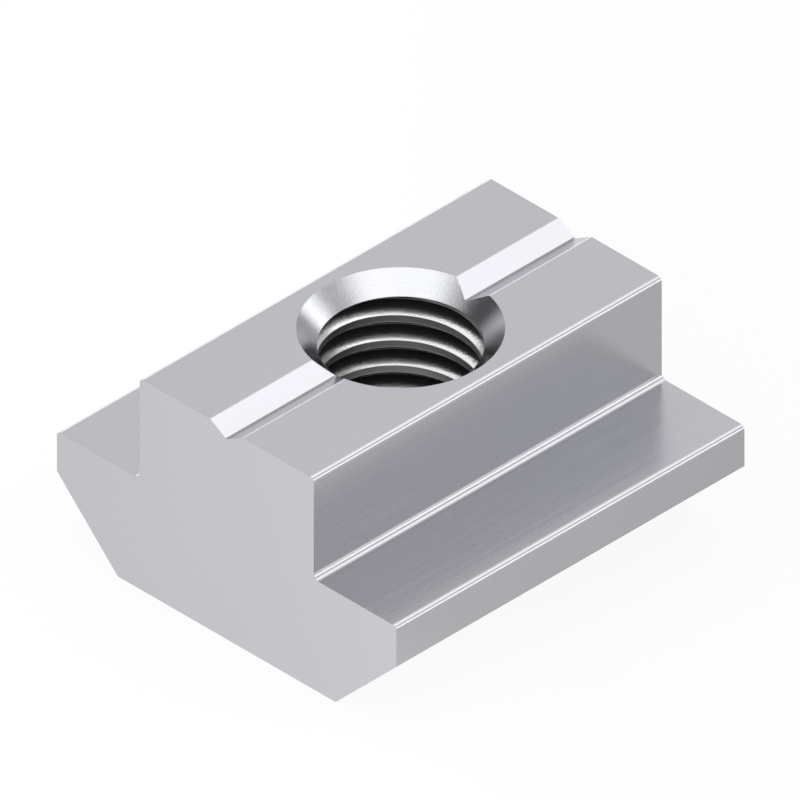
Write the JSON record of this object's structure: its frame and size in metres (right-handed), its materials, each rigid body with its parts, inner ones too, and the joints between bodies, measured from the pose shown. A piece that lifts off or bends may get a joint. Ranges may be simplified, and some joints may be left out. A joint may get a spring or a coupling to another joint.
{
  "type": "t-slot nut",
  "caption": "T-shaped steel nut for a 10 mm profile slot: bevelled wings clamp up under the slot's lips, a narrower neck stands between them, and a threaded hole takes an M8 screw.",
  "frame": {"origin": "on the axis of the threaded hole, in the bottom face", "axes": "+Z along the hole, out of the slot's mouth; +Y along the slot; +X across it"},
  "size_m": [0.0196, 0.02, 0.0105],
  "materials": {
    "zinc_plated_steel": "bright zinc plated over cold drawn bar, with sawn ends"
  },
  "bodies": {
    "root": {"nut_body": "zinc_plated_steel"}
  },
  "joints": []
}
